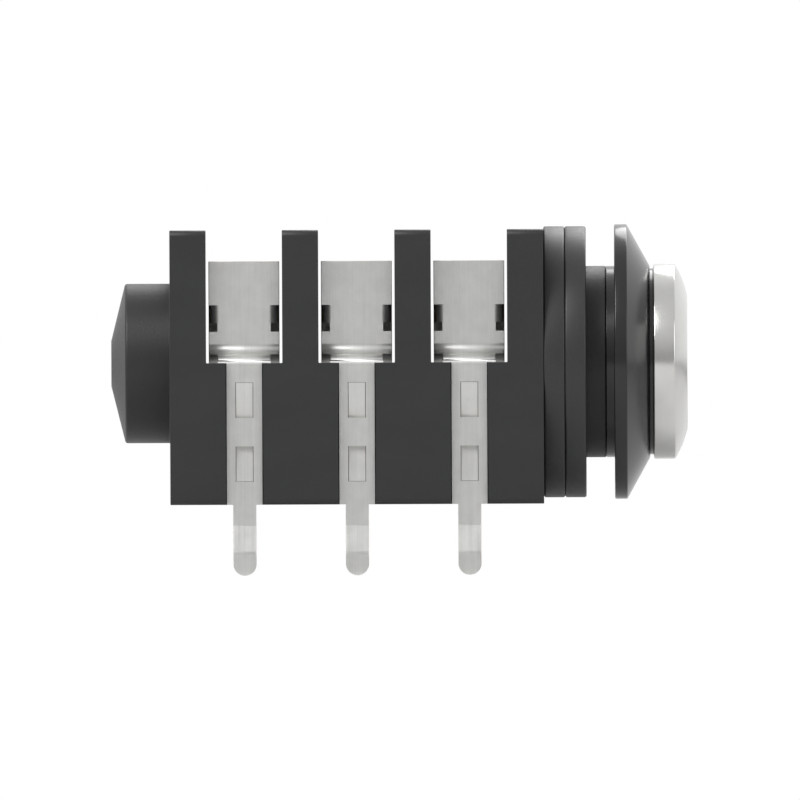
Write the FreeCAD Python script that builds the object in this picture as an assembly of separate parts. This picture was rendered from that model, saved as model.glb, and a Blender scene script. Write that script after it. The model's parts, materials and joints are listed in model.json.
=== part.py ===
import FreeCAD, Part

import math
import os

from FreeCAD import Vector

# A board-mounted 6.35 mm stereo jack socket with three switched contacts and a screw-in front ferrule.
# Frame, in millimetres: X runs along the plug axis and out of the mouth, Z points up from the board,
# and the origin is where the plug axis meets the shoulder of the housing.
# Offsets called "out" are distances from the centre plane, whichever side they are on.

# The washers' radius sets the outline seen from the front: the rest lines up with it
washer_radius = 7.65
housing_side_inset = 0.05
housing_top_inset = 0.15
board_gap = 0.35
bezel_overhang = 0.1

# Driving dimensions of the housing
bay_count = 3
contact_pitch = 6.35
wall_thickness = 2.05
housing_edge_radius = 0.35
guide_bore_radius = 3.3
guide_chamfer = 0.35

# The hollow boss behind the housing that takes the plug's tip
boss_radius = 4.5
boss_length = 2.5
cone_length = 0.8
cone_end_radius = 1.27
tip_seat_radius = 1.0
tip_seat_depth = 0.4
boss_end_wall = 0.8

# The barrel in front of the housing, which goes through the panel
barrel_radius = 5.4
barrel_length = 3.5
barrel_chamfer = 0.3

# Hollows moulded into the underside to keep the walls even
core_length = 3.2
core_width = 8.4
core_roof = 1.5
core_corner_radius = 0.5

# The screw-in ferrule. Its thread and the housing's are drawn at their pitch line.
ferrule_bore_radius = 3.25
thread_pitch_radius = 4.25
thread_clearance = 0.04
tail_depth = 1.35
tail_clearance = 0.15
tail_inner_chamfer = 0.5
tail_outer_chamfer = 0.3
head_radius = 5.5
head_rim_length = 1.2
dome_length = 0.72
dome_bulge = 0.1
mouth_chamfer = 0.4

# The bezel between the panel and the ferrule's head
bezel_bore_clearance = 0.35
bezel_collar_length = 0.5
bezel_rim_length = 0.7
bezel_cone_length = 1.3
bezel_neck_step = 0.15
bezel_neck_length = 0.2

# The two spacer washers on the barrel
washer_count = 2
washer_thickness = 1.2
washer_clearance = 0.25

# The formed strip contacts
strip_thickness = 0.5
bay_clearance = 0.15
leg_inset = 1.25
contact_height = 5.75
shoulder_step = 0.5
leg_width = 2.0
pin_width = 1.3
pin_length = 4.0
leg_bend_radius = 0.4
floor_run = 0.1
riser_bend_radius = 0.85

# The kink that holds each pin in its board
kink_start = 1.2
kink_apex = 2.8
kink_out = 0.4
kink_back = 0.3
kink_bend_radius = 0.5

# The lanced tongues that lock each leg in its channel
channel_clearance = 0.05
channel_back_gap = 0.075
channel_lead_in = 0.2
tongue_width = 1.0
tongue_length = 2.0
tongue_first_root = 1.1
tongue_spacing = 1.6
tongue_depth = 0.4
tongue_side_gap = 0.03
pocket_clearance = 0.1
pocket_end_clearance = 0.05

# The break contact's two inward tabs, which carry the end of the spring arm
tab_top = 3.27
tab_height = 1.0
tab_relief = 0.5
tab_bore_gap = 0.25
tab_bend_radius = 0.35

# The spring arm over the plug
plug_radius = 3.175
spring_press = 0.42
arm_bend_radius = 0.9
bump_radius = 1.5
arm_end_gap = 0.4
arm_end_lead = 0.2
arm_end_radius = 1.5
arm_waist_step = 0.55
arm_waist_start = 3.05
arm_waist_end = -2.65
arm_waist_fillet = 0.38

# Sizes that follow from those above
housing_width = 2 * (washer_radius - housing_side_inset)
housing_rise = washer_radius - housing_top_inset
axis_height = washer_radius + board_gap
bezel_radius = washer_radius + bezel_overhang
bay_length = contact_pitch - wall_thickness
housing_length = bay_count * contact_pitch + wall_thickness
contact_width = bay_length - 2 * bay_clearance
shoulder_width = contact_width - 2 * shoulder_step
board_level = -axis_height
leg_out = housing_width / 2 - leg_inset
leg_inner_face = leg_out - strip_thickness / 2
riser_out = leg_out - leg_bend_radius - floor_run - riser_bend_radius
washer_bore_radius = barrel_radius + washer_clearance
bezel_bore_radius = thread_pitch_radius + bezel_bore_clearance
bezel_start = barrel_length
flange_start = bezel_start + bezel_collar_length
cone_start = flange_start + bezel_rim_length
neck_start = cone_start + bezel_cone_length
head_start = neck_start + bezel_neck_length
mouth_plane = head_start + head_rim_length + dome_length
tab_foot = tab_top - tab_height
tab_inner_end = guide_bore_radius + tab_bore_gap
bay_centres = [-(wall_thickness + bay_length / 2 + i * contact_pitch) for i in range(bay_count)]
pole_names = ["sleeve", "ring", "tip"]

# Cutting blocks reach this far, or pass this far beyond a face
FAR = 60.0
OVERSHOOT = 1.0


def box(x_range, y_range, z_range):
    """A block between two limits along each axis."""
    low = Vector(min(x_range), min(y_range), min(z_range))
    high = Vector(max(x_range), max(y_range), max(z_range))
    size = high - low
    return Part.makeBox(size.x, size.y, size.z, low)


def upright_edges(block):
    """The edges of a block that run along Z."""
    return [e for e in block.Edges if abs(e.tangentAt(e.FirstParameter).z) > 0.9]


def turned(profile):
    """A solid turned about the plug axis from (x, radius) points."""
    points = [Vector(x, 0, radius) for x, radius in profile]
    face = Part.Face(Part.makePolygon(points + points[:1]))
    return face.revolve(Vector(0, 0, 0), Vector(1, 0, 0), 360)


def unit(angle):
    """The direction at an angle, as a pair."""
    return (math.cos(angle), math.sin(angle))


def moved(point, direction, distance):
    """A point moved along a direction."""
    return (point[0] + direction[0] * distance, point[1] + direction[1] * distance)


def heading(start, end):
    """The direction from one point to another, as a pair of length one."""
    length = math.hypot(end[0] - start[0], end[1] - start[1])
    return ((end[0] - start[0]) / length, (end[1] - start[1]) / length)


def crossing(point_a, way_a, point_b, way_b):
    """The point where two straight lines in a plane cross."""
    across = way_a[0] * way_b[1] - way_a[1] * way_b[0]
    gap = (point_b[0] - point_a[0], point_b[1] - point_a[1])
    along = (gap[0] * way_b[1] - gap[1] * way_b[0]) / across
    return moved(point_a, way_a, along)


def strip_side(corners, radii, offset, place):
    """One face line of a bent strip: straight runs and the bends' arcs, offset from the middle line."""
    ways = [heading(a, b) for a, b in zip(corners, corners[1:])]
    left = (-ways[0][1], ways[0][0])
    here = moved(corners[0], left, offset)
    edges = []
    for corner, radius, way_in, way_out in zip(corners[1:], radii, ways, ways[1:]):
        turn = math.atan2(way_in[0] * way_out[1] - way_in[1] * way_out[0],
                          way_in[0] * way_out[0] + way_in[1] * way_out[1])
        side = math.copysign(1.0, turn)
        reach = radius * math.tan(abs(turn) / 2)
        start = moved(corner, way_in, -reach)
        centre = moved(start, (-way_in[1], way_in[0]), side * radius)
        bent_radius = radius - side * offset
        arc = [moved(centre, heading(centre, p), bent_radius)
               for p in (start, corner, moved(corner, way_out, reach))]
        edges.append(Part.LineSegment(place(*here), place(*arc[0])).toShape())
        edges.append(Part.Arc(*[place(*p) for p in arc]).toShape())
        here = arc[2]
    left = (-ways[-1][1], ways[-1][0])
    end = moved(corners[-1], left, offset)
    edges.append(Part.LineSegment(place(*here), place(*end)).toShape())
    return edges, place(*moved(corners[0], (-ways[0][1], ways[0][0]), offset)), place(*end)


def bent_strip(corners, radii, place, extrusion, start):
    """Sheet of the strip's thickness, bent along a path in a plane and as wide as the extrusion."""
    half = strip_thickness / 2
    left_edges, left_start, left_end = strip_side(corners, radii, half, place)
    right_edges, right_start, right_end = strip_side(corners, radii, -half, place)
    ends = [(left_start, right_start), (left_end, right_end)]
    caps = [Part.LineSegment(left, right).toShape() for left, right in ends]
    wire = Part.Wire(Part.sortEdges(left_edges + right_edges + caps)[0])
    section = Part.Face(wire)
    section.translate(start)
    return section.extrude(extrusion)


def bore_cutter():
    """The plug's way through the housing: guide bore, lead-ins, tip seat and the ferrule's hole."""
    hole_end = -(tail_depth + tail_clearance)
    seat_end = -(housing_length + boss_length + cone_length - boss_end_wall)
    seat_start = seat_end + tip_seat_depth
    hole_radius = thread_pitch_radius + thread_clearance
    cutter = turned([
        (seat_end, 0), (seat_end, tip_seat_radius), (seat_start, guide_bore_radius),
        (hole_end, guide_bore_radius), (hole_end, hole_radius),
        (barrel_length - barrel_chamfer, hole_radius), (barrel_length, hole_radius + barrel_chamfer),
        (barrel_length + OVERSHOOT, hole_radius + barrel_chamfer), (barrel_length + OVERSHOOT, 0),
    ])
    for centre in bay_centres:
        wall_face = centre - bay_length / 2
        lead_in = turned([
            (wall_face - guide_chamfer, 0), (wall_face - guide_chamfer, guide_bore_radius),
            (wall_face, guide_bore_radius + guide_chamfer), (wall_face, 0),
        ])
        cutter = cutter.fuse(lead_in.common(box((-FAR, FAR), (-FAR, FAR), (0, FAR))))
    return cutter


def tongue_roots():
    """Height of each tongue's root and free end, the upper tongue hanging and the lower one standing."""
    upper_root = -tongue_first_root
    upper_end = upper_root - tongue_length
    lower_end = upper_end - tongue_spacing
    lower_root = lower_end - tongue_length
    return [(upper_root, upper_end), (lower_root, lower_end)]


def leg_channel(centre, side):
    """The open channel in the housing's side for one leg, with a pocket behind each tongue."""
    half_width = leg_width / 2 + channel_clearance
    back = leg_inner_face - channel_back_gap
    channel = box((centre - half_width, centre + half_width), (side * back, side * FAR),
                  (board_level - OVERSHOOT, OVERSHOOT))
    outside = back + OVERSHOOT
    low = -channel_lead_in
    lead_in = [(back - channel_lead_in, 0), (back, low), (outside, low), (outside, 0)]
    points = [Vector(centre - half_width, side * out, up) for out, up in lead_in]
    slope = Part.Face(Part.makePolygon(points + points[:1]))
    channel = channel.fuse(slope.extrude(Vector(2 * half_width, 0, 0)))
    pocket_half = tongue_width / 2 + pocket_clearance
    pocket_back = leg_inner_face - tongue_depth - pocket_clearance
    for root, end in tongue_roots():
        beyond = math.copysign(pocket_end_clearance, end - root)
        channel = channel.fuse(box((centre - pocket_half, centre + pocket_half),
                                   (side * pocket_back, side * outside), (root, end + beyond)))
    return channel


def core_hollow(centre):
    """One moulded hollow in the underside, below the guide bore."""
    roof = -(guide_bore_radius + core_roof)
    hollow = box((centre - core_length / 2, centre + core_length / 2),
                 (-core_width / 2, core_width / 2), (board_level - OVERSHOOT, roof))
    return hollow.makeFillet(core_corner_radius, upright_edges(hollow))


def make_housing():
    """The one-piece moulded housing: three open bays, legs' channels, tip boss and threaded barrel."""
    block = box((-housing_length, 0), (-housing_width / 2, housing_width / 2), (board_level, housing_rise))
    long_edges = [e for e in block.Edges if abs(e.tangentAt(e.FirstParameter).x) > 0.9]
    block = block.makeFillet(housing_edge_radius, long_edges)
    boss_start = -housing_length
    cone_foot = boss_start - boss_length
    boss = turned([
        (boss_start + wall_thickness / 2, 0), (boss_start + wall_thickness / 2, boss_radius),
        (cone_foot, boss_radius), (cone_foot - cone_length, cone_end_radius), (cone_foot - cone_length, 0),
    ])
    barrel = turned([
        (-wall_thickness / 2, 0), (-wall_thickness / 2, barrel_radius),
        (barrel_length, barrel_radius), (barrel_length, 0),
    ])
    housing = block.fuse(boss).fuse(barrel)
    for centre in bay_centres:
        housing = housing.cut(box((centre - bay_length / 2, centre + bay_length / 2), (-FAR, FAR), (0, FAR)))
        housing = housing.cut(core_hollow(centre))
        for side in (-1, 1):
            housing = housing.cut(leg_channel(centre, side))
    return housing.cut(bore_cutter()).removeSplitter()


def make_washer(index):
    """One flat spacer washer on the barrel."""
    start = index * washer_thickness
    end = start + washer_thickness
    return turned([
        (start, washer_bore_radius), (start, washer_radius), (end, washer_radius), (end, washer_bore_radius),
    ])


def make_bezel():
    """The conical bezel: a collar in the panel hole, a flat rim, a cone and a short neck."""
    neck_radius = barrel_radius - bezel_neck_step
    return turned([
        (bezel_start, bezel_bore_radius), (bezel_start, barrel_radius),
        (flange_start, barrel_radius), (flange_start, bezel_radius), (cone_start, bezel_radius),
        (neck_start, barrel_radius), (neck_start, neck_radius), (head_start, neck_radius),
        (head_start, bezel_bore_radius),
    ])


def make_ferrule():
    """The screw-in ferrule: a tube with a domed head, bored for the plug."""
    rim_end = head_start + head_rim_length
    mouth_radius = ferrule_bore_radius + mouth_chamfer
    dome_middle = ((rim_end + mouth_plane) / 2, (head_radius + mouth_radius) / 2)
    slope = heading((rim_end, head_radius), (mouth_plane, mouth_radius))
    bulge = moved(dome_middle, (-slope[1], slope[0]), dome_bulge)
    tail = -tail_depth
    line = [
        (mouth_plane, mouth_radius), (mouth_plane - mouth_chamfer, ferrule_bore_radius),
        (tail + tail_inner_chamfer, ferrule_bore_radius), (tail, ferrule_bore_radius + tail_inner_chamfer),
        (tail, thread_pitch_radius - tail_outer_chamfer), (tail + tail_outer_chamfer, thread_pitch_radius),
        (head_start, thread_pitch_radius), (head_start, head_radius), (rim_end, head_radius),
    ]
    points = [Vector(x, 0, radius) for x, radius in line]
    dome = Part.Arc(points[-1], Vector(bulge[0], 0, bulge[1]), points[0]).toShape()
    wire = Part.Wire([Part.makePolygon(points), dome])
    return Part.Face(wire).revolve(Vector(0, 0, 0), Vector(1, 0, 0), 360)


def leg_path():
    """Middle line of a leg from its tip up to the riser, as (out, up) corners with their bend radii."""
    tip = (leg_out + kink_out - kink_back, board_level - pin_length)
    apex = (leg_out + kink_out, board_level - kink_apex)
    start = (leg_out, board_level - kink_start)
    shoulder = (leg_out, strip_thickness / 2)
    foot = (riser_out, strip_thickness / 2)
    corners = [tip, apex, start, shoulder, foot]
    radii = [kink_bend_radius, kink_bend_radius, leg_bend_radius, riser_bend_radius]
    return corners, radii


def arm_path():
    """Middle line of the spring arm: over the riser's top, down to the bump on the plug, up to the tabs."""
    half = strip_thickness / 2
    top_centre = (riser_out - arm_bend_radius, contact_height - half - arm_bend_radius)
    bump_centre = (0.0, plug_radius - spring_press + half + bump_radius)
    apart = math.hypot(bump_centre[0] - top_centre[0], bump_centre[1] - top_centre[1])
    base = math.atan2(bump_centre[1] - top_centre[1], bump_centre[0] - top_centre[0]) % (2 * math.pi)
    leaving = base - math.acos((arm_bend_radius + bump_radius) / apart)
    down = unit(leaving + math.pi / 2)
    off_top = moved(top_centre, unit(leaving), arm_bend_radius)
    end = (-(riser_out - half - arm_end_gap), tab_top + half)
    landing = (-(tab_inner_end - arm_end_lead), tab_top + half)
    reach = math.hypot(landing[0] - bump_centre[0], landing[1] - bump_centre[1])
    toward = math.atan2(landing[1] - bump_centre[1], landing[0] - bump_centre[0]) % (2 * math.pi)
    up = unit(toward - math.asin(bump_radius / reach))
    riser_top = crossing(off_top, down, (riser_out, 0.0), (0.0, 1.0))
    bump = crossing(off_top, down, landing, up)
    return [riser_top, bump, landing, end], [arm_bend_radius, bump_radius, arm_end_radius]


def side_outline():
    """The contact as cut from flat sheet, seen from the side: riser, leg and round-ended pin."""
    pin_radius = pin_width / 2
    pin_end = board_level - pin_length
    line = [
        (-pin_radius, pin_end + pin_radius), (-pin_radius, board_level), (-leg_width / 2, board_level),
        (-leg_width / 2, 0), (-contact_width / 2, 0), (-contact_width / 2, FAR), (contact_width / 2, FAR),
        (contact_width / 2, 0), (leg_width / 2, 0), (leg_width / 2, board_level), (pin_radius, board_level),
        (pin_radius, pin_end + pin_radius),
    ]
    points = [Vector(x, -FAR, z) for x, z in line]
    tip = Part.Arc(points[-1], Vector(0, -FAR, pin_end), points[0]).toShape()
    return Part.Face(Part.Wire([Part.makePolygon(points), tip])).extrude(Vector(0, 2 * FAR, 0))


def lanced(contact, side):
    """The leg with its two tongues cut free on three sides and bent inwards."""
    half_window = tongue_width / 2
    half_tongue = half_window - tongue_side_gap
    for root, end in tongue_roots():
        contact = contact.cut(box((-half_window, half_window), (0, side * FAR), (root, end)))
    for root, end in tongue_roots():
        above = root + math.copysign(tongue_side_gap, root - end)
        corners = [(leg_out, above), (leg_out - tongue_depth, end)]
        tongue = bent_strip(corners, [], lambda out, up: Vector(0, side * out, up),
                            Vector(2 * half_tongue, 0, 0), Vector(-half_tongue, 0, 0))
        contact = contact.fuse(tongue.common(box((-FAR, FAR), (0, side * FAR), (above, end))))
    return contact


def formed_strip(corners, radii, side):
    """A bent strip trimmed to the flat outline and stepped in where it bends over the channel."""
    strip = bent_strip(corners, radii, lambda out, up: Vector(0, side * out, up),
                       Vector(contact_width, 0, 0), Vector(-contact_width / 2, 0, 0))
    strip = strip.common(side_outline())
    step_out = leg_out - leg_bend_radius
    for end in (-1, 1):
        strip = strip.cut(box((end * shoulder_width / 2, end * FAR), (side * step_out, side * FAR),
                              (0, strip_thickness + leg_bend_radius)))
    return lanced(strip, side)


def make_break_contact(centre):
    """The fixed contact: leg, riser and two tabs folded in from the riser's edges."""
    side = -1
    corners, radii = leg_path()
    contact = formed_strip(corners + [(riser_out, contact_height)], radii, side)
    edge = contact_width / 2
    fold = edge - strip_thickness / 2 - tab_bend_radius
    for end in (-1, 1):
        contact = contact.cut(box((end * (edge - tab_relief), end * FAR), (0, side * FAR),
                                  (tab_foot - tab_relief, tab_foot)))
        contact = contact.cut(box((end * fold, end * FAR), (0, side * FAR), (tab_foot, tab_top)))
        tab_line = [(end * fold / 2, side * riser_out),
                    (end * (edge - strip_thickness / 2), side * riser_out),
                    (end * (edge - strip_thickness / 2), side * tab_inner_end)]
        tab = bent_strip(tab_line, [tab_bend_radius], lambda x, y: Vector(x, y, 0),
                         Vector(0, 0, tab_height), Vector(0, 0, tab_foot))
        contact = contact.fuse(tab)
    contact.translate(Vector(centre, 0, 0))
    return contact.removeSplitter()


def make_spring_contact(centre):
    """The spring contact: leg, riser and an arm bowed over the plug to the break contact's tabs."""
    side = 1
    leg_corners, leg_radii = leg_path()
    arm_corners, arm_radii = arm_path()
    contact = formed_strip(leg_corners + arm_corners, leg_radii + arm_radii, side)
    waist_edge = contact_width / 2 - arm_waist_step
    waist_run = (side * arm_waist_end, side * arm_waist_start)
    for end in (-1, 1):
        waist = box((end * waist_edge, end * FAR), waist_run, (tab_foot, FAR))
        inner_edges = [e for e in upright_edges(waist) if abs(e.Vertexes[0].X) < contact_width]
        contact = contact.cut(waist.makeFillet(arm_waist_fillet, inner_edges))
    contact.translate(Vector(centre, 0, 0))
    return contact.removeSplitter()


def write(name, shape):
    """Writes one sub-part as its own file, after checking that it is one closed solid."""
    solids = shape.Solids
    if len(solids) != 1 or not solids[0].isValid():
        raise ValueError(f"{name} is not one valid solid: {len(solids)}")
    solids[0].exportStep(f"parts/{name}.step")
    print(name, "volume", round(solids[0].Volume, 2))


def main():
    os.makedirs("parts", exist_ok=True)
    write("housing", make_housing())
    for index in range(washer_count):
        write(f"spacer_washer_{index + 1}", make_washer(index))
    write("bezel", make_bezel())
    write("ferrule", make_ferrule())
    for name, centre in zip(pole_names, bay_centres):
        write(f"{name}_spring_contact", make_spring_contact(centre))
        write(f"{name}_break_contact", make_break_contact(centre))


main()
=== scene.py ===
import json
import math

import bmesh
import bpy
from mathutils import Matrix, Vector


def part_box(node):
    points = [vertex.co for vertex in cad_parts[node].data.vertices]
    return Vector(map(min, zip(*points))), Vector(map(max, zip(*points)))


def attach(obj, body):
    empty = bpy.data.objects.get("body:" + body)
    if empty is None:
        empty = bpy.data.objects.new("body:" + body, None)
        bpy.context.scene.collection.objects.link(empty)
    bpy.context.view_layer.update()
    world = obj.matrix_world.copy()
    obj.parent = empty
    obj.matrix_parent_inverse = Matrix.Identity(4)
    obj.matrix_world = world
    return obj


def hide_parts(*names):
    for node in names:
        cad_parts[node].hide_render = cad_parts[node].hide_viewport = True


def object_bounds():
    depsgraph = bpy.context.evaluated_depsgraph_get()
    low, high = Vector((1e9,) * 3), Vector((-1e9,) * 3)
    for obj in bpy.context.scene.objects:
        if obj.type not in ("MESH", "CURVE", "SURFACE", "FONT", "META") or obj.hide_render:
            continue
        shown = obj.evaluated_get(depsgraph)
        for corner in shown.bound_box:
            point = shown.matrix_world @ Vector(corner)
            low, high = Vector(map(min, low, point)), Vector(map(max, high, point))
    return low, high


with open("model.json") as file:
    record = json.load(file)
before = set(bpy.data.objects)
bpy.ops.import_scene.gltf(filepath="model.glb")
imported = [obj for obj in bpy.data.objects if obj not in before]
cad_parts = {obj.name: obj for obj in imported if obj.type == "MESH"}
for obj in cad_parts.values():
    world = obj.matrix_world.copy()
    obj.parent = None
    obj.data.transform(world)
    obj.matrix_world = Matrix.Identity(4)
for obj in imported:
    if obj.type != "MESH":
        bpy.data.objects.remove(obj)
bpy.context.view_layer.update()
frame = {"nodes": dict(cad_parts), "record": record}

MM = 0.001
NODES = frame["nodes"]
BODIES = frame["record"]["behaviour"]["bodies"]
BODY_OF = {node: body for body, nodes in BODIES.items() for node in nodes}
CONTACTS = sorted(node for node in NODES if node.endswith("_contact"))
WASHERS = sorted(node for node in NODES if node.startswith("spacer_washer"))

# The ferrule's bore, ends and head
BORE = 3.25 * MM
MOUTH_CHAMFER = 0.4 * MM
TAIL_CHAMFER = 0.5 * MM
TAIL_END = 3.95 * MM
HEAD_RIM = 1.2 * MM
DOME_BULGE = 0.1 * MM
DOME_STEPS = 12
METAL_EDGE = 0.1 * MM

# Its thread, with the steps round a turn and along a pitch
THREAD_PITCH = 1.0 * MM
THREAD_CREST = 4.5 * MM
THREAD_ROOT = 4.1 * MM
THREAD_RELIEF = 0.8 * MM
THREAD_STEPS = 96
THREAD_MARKS = 16
ROOT_FLAT = 0.25
CREST_FLAT = 0.125

# The wall of the barrel's bore that the inner thread is cut in, and the thread's play and run-in
WALL_START = -1.5 * MM
WALL_END = 3.2 * MM
WALL_RADIUS = 4.29 * MM
THREAD_PLAY = 0.04 * MM
THREAD_FADE = 0.4 * MM

# The coned boss behind the housing, and the hole in each washer
BACK_WALL = -21.1 * MM
BOSS_RADIUS = 4.5 * MM
CONE_LENGTH = 0.8 * MM
CONE_END = 1.27 * MM
WASHER_BORE = 5.65 * MM

# The bezel's bore, collar, flange and the neck that the ferrule's head bears on
BEZEL_BORE = 4.6 * MM
COLLAR_RADIUS = 5.4 * MM
COLLAR_LENGTH = 0.5 * MM
FLANGE_RIM = 0.7 * MM
NECK_STEP = 0.15 * MM
NECK_LENGTH = 0.2 * MM

# The break contacts' risers end above this height and stand beyond this side, in millimetres
RISER_TOP = 5.6
RISER_SIDE = 3.0

# Where a strip contact's edges stay as cut: inside the pin's width, at the tabs, at the fold over
# the channel and at the leg's end
PIN_HALF_WIDTH = 0.62 * MM
TABS_LOW = 1.55 * MM
TABS_HIGH = 3.35 * MM
FOLD_REACH = 0.16 * MM

# Small edge roundings that moulding and tumbling leave on each kind of part
BOSS_EDGE = 0.15 * MM
HOUSING_EDGE = 0.1 * MM
STRIP_EDGE = 0.035 * MM
WASHER_EDGE = 0.12 * MM
BEZEL_EDGE = 0.08 * MM
NECK_EDGE = 0.04 * MM
INNER_CORNER = 0.02 * MM

# Steps round a turned piece, round a corner of its profile and across a rounded edge
TURNED_STEPS = 160
CORNER_STEPS = 4
EDGE_STEPS = 2

# Angles in degrees: what still counts as flat, as straight, and the turns that get rounded
FLAT_TURN = 0.5
STRAIGHT = 179
STRIP_TURN = 50
HOUSING_TURN = 35

# Points that are nearer than this are one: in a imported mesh, along a drawn seam
SAME_POINT = 0.001 * MM
SAME_SEAM = 0.0005 * MM

# The picture: its size, the drawing's scale and roll in degrees, and the camera's place and reach
PICTURE_PIXELS = 800
PIXEL = 0.05644 * MM
DRAWING_ROLL = 0.25
CAMERA_PLACE = (-8.115 * MM, -0.3, -2.12 * MM)
NEAREST, FURTHEST = 0.01, 10.0

# The studio: half the floor's width, then each soft light's name, place, width and watts, in metres
FLOOR_HALF = 3.0
LIGHTS = (
    ("key", (-0.15, -0.16, 0.21), 0.20, 0.55),
    ("fill", (0.30, -0.16, 0.10), 0.25, 0.22),
    ("back", (0.08, 0.26, 0.22), 0.22, 0.40),
)
BLACK = (0.0, 0.0, 0.0)
WHITE = (1.0, 1.0, 1.0)


class Wire:
    """One output among a tree's nodes. Arithmetic on it adds Math nodes."""

    def __init__(self, net, socket):
        self.net = net
        self.socket = socket

    def other(self, name):
        """Another output of the same node."""
        return Wire(self.net, self.socket.node.outputs[name])

    def math(self, operation, *values):
        return self.net.node("ShaderNodeMath", {"operation": operation}, dict(enumerate(values)))

    def __add__(self, other):
        return self.math("ADD", self, other)

    def __radd__(self, other):
        return self.math("ADD", other, self)

    def __mul__(self, other):
        return self.math("MULTIPLY", self, other)

    def __rmul__(self, other):
        return self.math("MULTIPLY", other, self)

    def __abs__(self):
        return self.math("ABSOLUTE", self)

    def sqrt(self):
        return self.math("SQRT", self)

    def larger(self, other):
        return self.math("MAXIMUM", self, other)

    def above(self, edge, softness):
        """0 below the edge and 1 above it, with a soft step between."""
        return self.net.node(
            "ShaderNodeMapRange", {"interpolation_type": "SMOOTHSTEP"},
            {"Value": self, "From Min": edge - softness, "From Max": edge + softness})


class Net:
    """A tree of shader nodes that one method adds to."""

    def __init__(self, tree):
        self.tree = tree

    def node(self, kind, settings, inputs, output=0):
        made = self.tree.nodes.new(kind)
        for name, value in settings.items():
            setattr(made, name, value)
        for name, value in inputs.items():
            self.link(value, made.inputs[name])
        return Wire(self, made.outputs[output])

    def link(self, value, socket):
        if isinstance(value, Wire):
            self.tree.links.new(value.socket, socket)
        else:
            socket.default_value = value

    def axis(self, vector, index):
        return self.node("ShaderNodeSeparateXYZ", {}, {0: vector}, index)

    def mix(self, mask, low, high):
        """From the low colour to the high one as the mask goes from 0 to 1."""
        low, high = ((*end, 1.0) if isinstance(end, tuple) else end for end in (low, high))
        return self.node("ShaderNodeMix", {"data_type": "RGBA"}, {0: mask, 6: low, 7: high}, 2)


class Finish(Net):
    """A material made of nodes round one Principled shader."""

    def __init__(self, name, **constants):
        self.material = bpy.data.materials.new(name)
        self.material.use_nodes = True
        super().__init__(self.material.node_tree)
        self.shader = self.tree.nodes["Principled BSDF"]
        for socket, value in constants.items():
            self.shader.inputs[socket.replace("_", " ")].default_value = value

    def place(self, stretch=(1.0, 1.0, 1.0)):
        """The surface point in millimetres in the part's own frame, stretched along each axis."""
        point = self.node("ShaderNodeTexCoord", {}, {}, "Object")
        scale = tuple(s / MM for s in stretch)
        return self.node("ShaderNodeVectorMath", {"operation": "MULTIPLY"}, {0: point, 1: scale})

    def noise(self, place, scale, detail=2.0, roughness=0.5):
        return self.node(
            "ShaderNodeTexNoise", {"noise_dimensions": "3D"},
            {"Vector": place, "Scale": scale, "Detail": detail, "Roughness": roughness})

    def relief(self, height, depth, strength):
        bump = self.node(
            "ShaderNodeBump", {}, {"Strength": strength, "Distance": depth, "Height": height})
        self.link(bump, self.shader.inputs["Normal"])

    def paint(self, **wires):
        """Feeds the shader's named sockets and hands over the material."""
        for socket, wire in wires.items():
            self.link(wire, self.shader.inputs[socket.replace("_", " ")])
        return self.material


def moulded_black():
    """Black glass-filled plastic from a spark-eroded mould: fine grain, faint clouds of flow."""
    deep, pale = (0.013, 0.0135, 0.0145), (0.021, 0.0215, 0.0225)
    finish = Finish("moulded_black", IOR=1.5)
    grain = finish.noise(finish.place(), scale=6.0, detail=3.0, roughness=0.65)
    cloud = finish.noise(finish.place((0.35, 1.0, 1.0)), scale=0.5, detail=3.0)
    finish.relief(grain, depth=0.012 * MM, strength=0.9)
    return finish.paint(
        Base_Color=finish.mix(cloud, deep, pale),
        Roughness=0.36 + 0.12 * grain + 0.06 * cloud)


def satin_nylon():
    """Black nylon of the spacer washers, a little greyer and silkier than the housing."""
    deep, pale = (0.016, 0.0165, 0.018), (0.024, 0.0245, 0.026)
    finish = Finish("satin_nylon", IOR=1.53)
    grain = finish.noise(finish.place(), scale=5.0)
    finish.relief(grain, depth=0.004 * MM, strength=0.6)
    return finish.paint(
        Base_Color=finish.mix(grain, deep, pale),
        Roughness=0.36 + 0.14 * grain)


def polished_black():
    """The bezel's polished black plastic, with a soft unevenness in the gloss."""
    deep, pale = (0.009, 0.009, 0.010), (0.014, 0.014, 0.015)
    finish = Finish("polished_black", IOR=1.5)
    place = finish.place()
    cloud = finish.noise(place, scale=0.8)
    dust = finish.noise(place, scale=14.0)
    finish.relief(cloud, depth=0.004 * MM, strength=0.5)
    return finish.paint(
        Base_Color=finish.mix(cloud, deep, pale),
        Roughness=0.13 + 0.05 * cloud + 0.05 * dust)


def turned_plating():
    """Bright plated brass with the fine rings that turning leaves round the axis."""
    dull, bright = (0.60, 0.595, 0.58), (0.68, 0.672, 0.655)
    rings_a_mm = 9.0
    finish = Finish("turned_plating", Metallic=1.0)
    place = finish.place()
    along, across, up = (finish.axis(place, i) for i in range(3))
    radius = (across * across + up * up).sqrt()
    ring_place = finish.node(
        "ShaderNodeCombineXYZ", {}, {0: along * rings_a_mm, 1: radius * rings_a_mm, 2: 0.0})
    rings = finish.noise(ring_place, scale=1.6, detail=3.0, roughness=0.7)
    haze = finish.noise(place, scale=1.1)
    finish.relief(rings, depth=0.005 * MM, strength=0.9)
    return finish.paint(
        Base_Color=finish.mix(haze, dull, bright),
        Roughness=0.10 + 0.10 * rings + 0.05 * haze)


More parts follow.
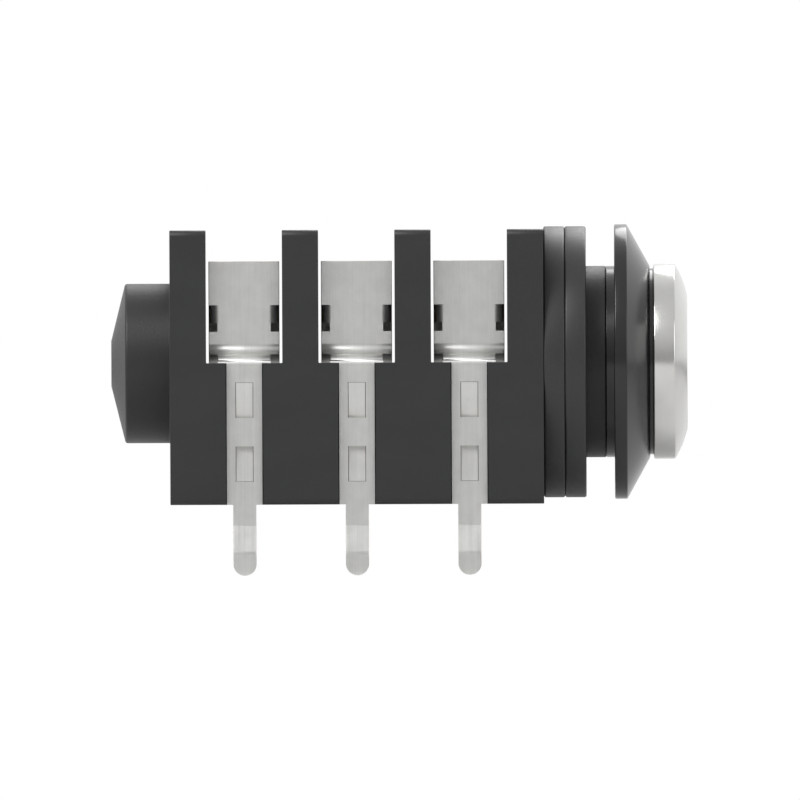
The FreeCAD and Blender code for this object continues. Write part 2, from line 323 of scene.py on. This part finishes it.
def tinned_strip():
    """Tin-plated bronze strip: rolling lines along it, warm bare metal on the sheared edges."""
    dull, bright, bronze = (0.56, 0.556, 0.54), (0.84, 0.836, 0.82), (0.62, 0.42, 0.26)
    finish = Finish("tinned_strip", Metallic=1.0)
    place = finish.place()
    lines = finish.noise(finish.place((24.0, 0.5, 0.5)), scale=0.4, detail=3.0, roughness=0.65)
    bands = finish.noise(finish.place((6.0, 0.3, 0.3)), scale=0.4, detail=1.0)
    haze = finish.noise(place, scale=1.2, detail=4.0, roughness=0.6)
    waves = finish.noise(finish.place((1.0, 0.7, 0.7)), scale=0.7, detail=1.0)
    normal = finish.node("ShaderNodeTexCoord", {}, {}, "Normal")
    edge = abs(finish.axis(normal, 0)).above(0.8, softness=0.15)
    upward = finish.axis(normal, 2).above(0.9, softness=0.08)
    crown = upward * finish.axis(place, 2).above(RISER_TOP, softness=0.1)
    near_side = (-1.0 * finish.axis(place, 1)).above(RISER_SIDE, softness=0.2)
    sheared = edge.larger(crown * near_side) * (0.45 + 0.4 * haze)
    plated = finish.mix(0.5 * haze + 0.5 * lines, dull, bright)
    finish.relief(lines * 0.15 + waves, depth=0.02 * MM, strength=0.9)
    return finish.paint(
        Base_Color=finish.mix(sheared, plated, bronze),
        Roughness=0.17 + 0.20 * lines + 0.08 * bands + 0.10 * haze)


def pale_floor():
    """The studio floor: pale, with the object's soft shadow, and white like the backdrop far off."""
    pale, glow = (0.86, 0.86, 0.86, 1.0), (0.16, 0.16, 0.16)
    finish = Finish(
        "pale_floor", Roughness=0.9, Specular_IOR_Level=0.0, Base_Color=pale, Emission_Strength=1.0)
    rays = finish.node("ShaderNodeLightPath", {}, {}, "Is Camera Ray")
    away = finish.node(
        "ShaderNodeVectorMath", {"operation": "LENGTH"}, {0: finish.place()}, "Value")
    far_off = away.above(90.0, softness=60.0)
    white = finish.node("ShaderNodeEmission", {}, {})
    near = Wire(finish, finish.shader.outputs[0])
    blend = finish.node("ShaderNodeMixShader", {}, {0: rays * far_off, 1: near, 2: white})
    finish.link(blend, finish.tree.nodes["Material Output"].inputs["Surface"])
    return finish.paint(Emission_Color=finish.mix(rays, BLACK, glow))


def mark_edges(shape, degrees, stays_sharp):
    """Marks the edges that turn by more than an angle for rounding, but for those that stay sharp."""
    bmesh.ops.recalc_face_normals(shape, faces=shape.faces)
    weight = shape.edges.layers.float.new("bevel_weight_edge")
    for edge in shape.edges:
        turns = edge.calc_face_angle(0.0) > math.radians(degrees)
        edge.smooth = not (turns and stays_sharp(edge))
        edge[weight] = float(turns and edge.smooth)


def soften(piece, width, clamped):
    """Rounds a piece's marked edges and shades it evenly."""
    bevel = piece.modifiers.new("edges", "BEVEL")
    bevel.width = width
    bevel.segments = EDGE_STEPS
    bevel.limit_method = "WEIGHT"
    bevel.miter_outer = "MITER_ARC"
    bevel.use_clamp_overlap = clamped
    even_shading(piece)


def packed_shape(node):
    """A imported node's form as a new shape, with its flat faces whole again."""
    shape = bmesh.new()
    shape.from_mesh(NODES[node].data)
    bmesh.ops.remove_doubles(shape, verts=shape.verts, dist=SAME_POINT)
    bmesh.ops.dissolve_limit(
        shape, angle_limit=math.radians(FLAT_TURN), verts=shape.verts, edges=shape.edges)
    for edge in shape.edges:
        edge.smooth = True
    return shape


def make_contact(node, material):
    """A formed strip contact as packed, with its outline's edges rounded as tumbling leaves them."""
    low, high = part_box(node)
    middle = (low.x + high.x) / 2
    has_tabs = node.endswith("break_contact")
    leg_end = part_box("housing")[0].z
    shape = packed_shape(node)

    def stays_sharp(edge):
        inside = min(abs(v.co.x - middle) for v in edge.verts) < PIN_HALF_WIDTH
        at_tabs = has_tabs and all(TABS_LOW < v.co.z < TABS_HIGH for v in edge.verts)
        at_fold = any(abs(v.co.z) < FOLD_REACH for v in edge.verts)
        at_leg_end = all(abs(v.co.z - leg_end) < FOLD_REACH for v in edge.verts)
        return inside or at_tabs or at_fold or at_leg_end

    mark_edges(shape, STRIP_TURN, stays_sharp)
    piece = finished_mesh(node + "_formed", shape)
    soften(piece, STRIP_EDGE, clamped=False)
    take_place(piece, node, material)


def rounded(corners, radii):
    """Points of a closed profile of (x, radius) corners, each rounded by its own radius."""
    points = []
    count = len(corners)
    for i, (corner, radius) in enumerate(zip(corners, radii)):
        here = Vector(corner)
        before = (Vector(corners[i - 1]) - here).normalized()
        after = (Vector(corners[(i + 1) % count]) - here).normalized()
        opening = before.angle(after)
        if radius == 0 or opening > math.radians(STRAIGHT):
            points.append(here)
            continue
        reach = radius / math.tan(opening / 2)
        centre = here + (before + after).normalized() * radius / math.sin(opening / 2)
        start = here + before * reach - centre
        end = here + after * reach - centre
        sweep = start.angle(end)
        for step in range(CORNER_STEPS + 1):
            share = step / CORNER_STEPS
            blend = start * math.sin((1 - share) * sweep) + end * math.sin(share * sweep)
            points.append(centre + blend / math.sin(sweep))
    return points


def turned_mesh(name, profile):
    """A ring-shaped mesh turned about the plug axis from a closed profile."""
    shape = bmesh.new()
    rings = []
    for step in range(TURNED_STEPS):
        angle = 2 * math.pi * step / TURNED_STEPS
        side, up = math.sin(angle), math.cos(angle)
        rings.append([shape.verts.new((p.x, p.y * side, p.y * up)) for p in profile])
    for ring, after in zip(rings, rings[1:] + rings[:1]):
        for i in range(len(profile)):
            j = (i + 1) % len(profile)
            shape.faces.new((ring[i], ring[j], after[j], after[i]))
    return finished_mesh(name, shape)


def finished_mesh(name, shape):
    """An object from a bmesh, with its faces turned outwards and smooth."""
    bmesh.ops.recalc_face_normals(shape, faces=shape.faces)
    mesh = bpy.data.meshes.new(name)
    shape.to_mesh(mesh)
    shape.free()
    if "custom_normal" in mesh.attributes:
        mesh.attributes.remove(mesh.attributes["custom_normal"])
    mesh.shade_smooth()
    piece = bpy.data.objects.new(name, mesh)
    bpy.context.scene.collection.objects.link(piece)
    return piece


def even_shading(piece):
    """Lets the large faces lead the shading, with the unrounded edges crisp."""
    shade = piece.modifiers.new("shade", "WEIGHTED_NORMAL")
    shade.keep_sharp = True


def take_place(piece, node, material):
    """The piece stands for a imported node, on its body and in its finish."""
    piece.data.materials.clear()
    piece.data.materials.append(material)
    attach(piece, BODY_OF[node])
    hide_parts(node)


def thread_depth(phase):
    """Share of the thread's depth at a phase of one pitch: root flat, flank, crest flat, flank."""
    flank = (1 - ROOT_FLAT - CREST_FLAT) / 2
    phase = phase % 1.0
    rise = (phase - ROOT_FLAT) / flank
    fall = (1.0 - phase) / flank
    return min(max(min(rise, fall), 0.0), 1.0)


def thread_line(turn_share, tail, head_back):
    """The shank's line at one share of a turn, from the tail to the head, as (x, radius)."""
    line = []
    turns = math.ceil((head_back - tail) / THREAD_PITCH) + 1
    for step in range(-THREAD_MARKS, turns * THREAD_MARKS + 1):
        phase = step / THREAD_MARKS
        x = tail + (phase + turn_share) * THREAD_PITCH
        x = min(max(x, tail), head_back)
        depth = (THREAD_CREST - THREAD_ROOT) * thread_depth(phase)
        depth = min(depth, max(0.0, head_back - THREAD_RELIEF - x))
        line.append((x, min(THREAD_ROOT + depth, TAIL_END + x - tail)))
    return line


def make_ferrule(material):
    """The turned ferrule: threaded shank, domed head and bored mouth, as one closed mesh."""
    low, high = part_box("ferrule")
    tail, mouth, head = low.x, high.x, high.z
    head_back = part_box("bezel")[1].x
    head_rim = head_back + HEAD_RIM
    lip = BORE + MOUTH_CHAMFER
    dome = []
    for step in range(1, DOME_STEPS):
        share = step / DOME_STEPS
        bulge = 4 * share * (1 - share) * DOME_BULGE
        slope = Vector((mouth - head_rim, lip - head)).normalized()
        flat = Vector((head_rim, head)).lerp(Vector((mouth, lip)), share)
        dome.append((flat.x - slope.y * bulge, flat.y + slope.x * bulge))
    corners = [(head_back, THREAD_ROOT), (head_back, head), (head_rim, head)] + dome + [
        (mouth, lip), (mouth - MOUTH_CHAMFER, BORE), (tail + TAIL_CHAMFER, BORE),
        (tail, BORE + TAIL_CHAMFER), (tail, TAIL_END)]
    radii = [0, METAL_EDGE, METAL_EDGE] + [0] * len(dome) + [METAL_EDGE, METAL_EDGE, 0, 0, 0]
    rest = [(p.x, p.y) for p in rounded(corners, radii)]
    shape = bmesh.new()
    columns = []
    for step in range(THREAD_STEPS + 1):
        angle = 2 * math.pi * step / THREAD_STEPS
        side, up = -math.sin(angle), math.cos(angle)
        column = thread_line(step / THREAD_STEPS, tail, head_back) + rest[:-1]
        columns.append([shape.verts.new((x, r * side, r * up)) for x, r in column])
    count = len(columns[0])
    for column, after in zip(columns, columns[1:]):
        for i in range(count):
            j = (i + 1) % count
            shape.faces.new((column[i], column[j], after[j], after[i]))
    bmesh.ops.remove_doubles(shape, verts=shape.verts, dist=SAME_SEAM)
    piece = finished_mesh("ferrule_turned", shape)
    even_shading(piece)
    take_place(piece, "ferrule", material)


def make_bezel(material):
    """The conical bezel with its edges slightly rounded."""
    low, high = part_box("bezel")
    flange = low.x + COLLAR_LENGTH
    rim = flange + FLANGE_RIM
    neck = COLLAR_RADIUS - NECK_STEP
    cone_end = high.x - NECK_LENGTH
    corners = [
        (low.x, BEZEL_BORE), (low.x, COLLAR_RADIUS), (flange, COLLAR_RADIUS), (flange, high.z),
        (rim, high.z), (cone_end, COLLAR_RADIUS), (cone_end, neck), (high.x, neck),
        (high.x, BEZEL_BORE)]
    radii = [
        BEZEL_EDGE, BEZEL_EDGE, INNER_CORNER, BEZEL_EDGE, BEZEL_EDGE,
        BEZEL_EDGE, INNER_CORNER, NECK_EDGE, BEZEL_EDGE]
    piece = turned_mesh("bezel_moulded", rounded(corners, radii))
    even_shading(piece)
    take_place(piece, "bezel", material)


def radius_of(vert):
    """How far a vertex lies from the plug's axis."""
    return math.hypot(vert.co.y, vert.co.z)


def share_of_turn(vert):
    """How far round the plug's axis a vertex lies, as a share of a turn from the top."""
    return math.atan2(-vert.co.y, vert.co.z) / (2 * math.pi)


def put_round(vert, x, radius):
    """Moves a vertex along and out from the plug's axis, straight out from where it is."""
    way = Vector((0.0, vert.co.y, vert.co.z)).normalized()
    vert.co = way * radius + Vector((x, 0.0, 0.0))


def in_wall(vert):
    """Whether a vertex of the housing lies on the threaded wall of the barrel's bore."""
    beside = 0.01 * MM
    return (WALL_START - beside < vert.co.x < WALL_END + beside
            and THREAD_ROOT - beside < radius_of(vert) < THREAD_CREST + THREAD_PLAY + beside)


def thread_wall(x, share, start):
    """Radius of the inner thread at a place along the bore and at a share of a turn."""
    phase = (x - start) / THREAD_PITCH - share
    full = THREAD_ROOT + THREAD_PLAY + (THREAD_CREST - THREAD_ROOT) * thread_depth(phase)
    run_in = min((x - WALL_START) / THREAD_FADE, 1.0)
    return WALL_RADIUS + (full - WALL_RADIUS) * run_in


def cut_thread(shape):
    """Draws the barrel's bore again as the inner thread that the ferrule turns in."""
    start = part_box("ferrule")[0].x
    ends = [v for v in shape.verts if in_wall(v)]
    end_tilt = 0.1
    wall = [f for f in shape.faces if all(in_wall(v) for v in f.verts) and abs(f.normal.x) < end_tilt]
    bmesh.ops.delete(shape, geom=wall, context="FACES")
    turns = sorted({round(share_of_turn(v) % 1.0, 6) for v in ends})
    for vert in ends:
        put_round(vert, vert.co.x, thread_wall(vert.co.x, share_of_turn(vert), start))
    pitches = math.ceil((WALL_END - start) / THREAD_PITCH)
    columns = []
    for share in turns + [turns[0] + 1.0]:
        side, up = -math.sin(2 * math.pi * share), math.cos(2 * math.pi * share)
        column = []
        for step in range(-2 * THREAD_MARKS, pitches * THREAD_MARKS + 1):
            x = start + (step / THREAD_MARKS + share) * THREAD_PITCH
            x = min(max(x, WALL_START), WALL_END)
            radius = thread_wall(x, share, start)
            column.append(shape.verts.new((x, radius * side, radius * up)))
        columns.append(column)
    for column, after in zip(columns, columns[1:]):
        for i in range(len(column) - 1):
            shape.faces.new((column[i], column[i + 1], after[i + 1], after[i]))
    bmesh.ops.remove_doubles(shape, verts=[v for v in shape.verts if in_wall(v)], dist=SAME_SEAM)


def make_housing(material):
    """The moulded housing as packed, with its boss drawn again in even rings and its bore threaded."""
    shape = packed_shape("housing")
    cut_thread(shape)
    boss = []
    facing = 0.5
    for face in shape.faces:
        middle = face.calc_center_median()
        outward = face.normal.dot(Vector((0.0, middle.y, middle.z)).normalized())
        if middle.x < BACK_WALL - SAME_POINT and (outward > facing or face.normal.x < -facing):
            boss.append(face)
    bmesh.ops.delete(shape, geom=boss, context="FACES")
    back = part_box("housing")[0].x
    corners = [
        (BACK_WALL, BOSS_RADIUS), (back + CONE_LENGTH, BOSS_RADIUS), (back, CONE_END), (back, 0.0)]
    line = rounded(corners, [0, BOSS_EDGE, BOSS_EDGE, 0])[1:-1]
    loop = [e for e in shape.edges if e.is_boundary]
    for x, radius in line:
        grown = bmesh.ops.extrude_edge_only(shape, edges=loop)["geom"]
        loop = [e for e in grown if isinstance(e, bmesh.types.BMEdge) and e.is_boundary]
        for vert in {v for e in loop for v in e.verts}:
            put_round(vert, x, radius)
    bmesh.ops.contextual_create(shape, geom=loop)
    mark_edges(shape, HOUSING_TURN, lambda edge: all(in_wall(v) for v in edge.verts))
    piece = finished_mesh("housing_moulded", shape)
    soften(piece, HOUSING_EDGE, clamped=True)
    take_place(piece, "housing", material)


def make_washers(material):
    """The flat spacer washers, with the edges that moulding rounds."""
    for node in WASHERS:
        low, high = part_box(node)
        corners = [(low.x, WASHER_BORE), (low.x, high.z), (high.x, high.z), (high.x, WASHER_BORE)]
        piece = turned_mesh(node + "_moulded", rounded(corners, [WASHER_EDGE] * 4))
        even_shading(piece)
        take_place(piece, node, material)


def make_floor():
    """A wide plain floor under the pins, which isn't part of the object."""
    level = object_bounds()[0].z
    half = FLOOR_HALF
    shape = bmesh.new()
    corners = [(-half, -half), (half, -half), (half, half), (-half, half)]
    shape.faces.new([shape.verts.new((x, y, level)) for x, y in corners])
    floor = finished_mesh("studio_floor", shape)
    floor.data.materials.append(pale_floor())


def soft_light(name, place, width, watts):
    """A round soft light that faces the object."""
    lamp = bpy.data.lights.new(name, "AREA")
    lamp.shape = "DISK"
    lamp.size = width
    lamp.energy = watts
    light = bpy.data.objects.new(name, lamp)
    light.location = place
    light.rotation_mode = "QUATERNION"
    light.rotation_quaternion = (-Vector(place)).to_track_quat("-Z", "Y")
    light.visible_camera = False
    bpy.context.scene.collection.objects.link(light)


def make_world():
    """A white backdrop that gloss shows too, a darker room before it and an even light all round."""
    shade, ambient = (0.40, 0.40, 0.40), (0.45, 0.45, 0.45)
    world = bpy.data.worlds.new("studio")
    bpy.context.scene.world = world
    world.use_nodes = True
    net = Net(world.node_tree)
    way = net.node("ShaderNodeTexCoord", {}, {}, "Generated")
    backdrop = net.axis(way, 1).above(0.1, softness=0.6)
    ceiling = net.axis(way, 2).above(0.3, softness=0.4)
    room = net.mix(backdrop.larger(ceiling * 0.6), shade, WHITE)
    rays = net.node("ShaderNodeLightPath", {}, {}, "Is Camera Ray")
    glossy = rays.other("Is Glossy Ray").larger(rays.other("Is Transmission Ray"))
    lit = net.mix(glossy, ambient, room)
    net.link(net.mix(rays, lit, WHITE), net.tree.nodes["Background"].inputs["Color"])


def make_camera():
    """A flat side view, framed and very slightly rolled as in the drawing."""
    lens = bpy.data.cameras.new("camera")
    lens.type = "ORTHO"
    lens.ortho_scale = PICTURE_PIXELS * PIXEL
    lens.clip_start, lens.clip_end = NEAREST, FURTHEST
    camera = bpy.data.objects.new("camera", lens)
    camera.location = CAMERA_PLACE
    camera.rotation_euler = (math.radians(90), math.radians(DRAWING_ROLL), 0.0)
    bpy.context.scene.collection.objects.link(camera)
    bpy.context.scene.camera = camera


def main():
    """Builds every piece in its finish, then the studio, and sets a plain view transform."""
    black, nylon, gloss = moulded_black(), satin_nylon(), polished_black()
    plating, strip = turned_plating(), tinned_strip()
    make_housing(black)
    make_washers(nylon)
    for node in CONTACTS:
        make_contact(node, strip)
    make_ferrule(plating)
    make_bezel(gloss)
    make_floor()
    make_world()
    make_camera()
    for name, place, width, watts in LIGHTS:
        soft_light(name, place, width, watts)
    view = bpy.context.scene.view_settings
    view.view_transform = "Standard"


main()
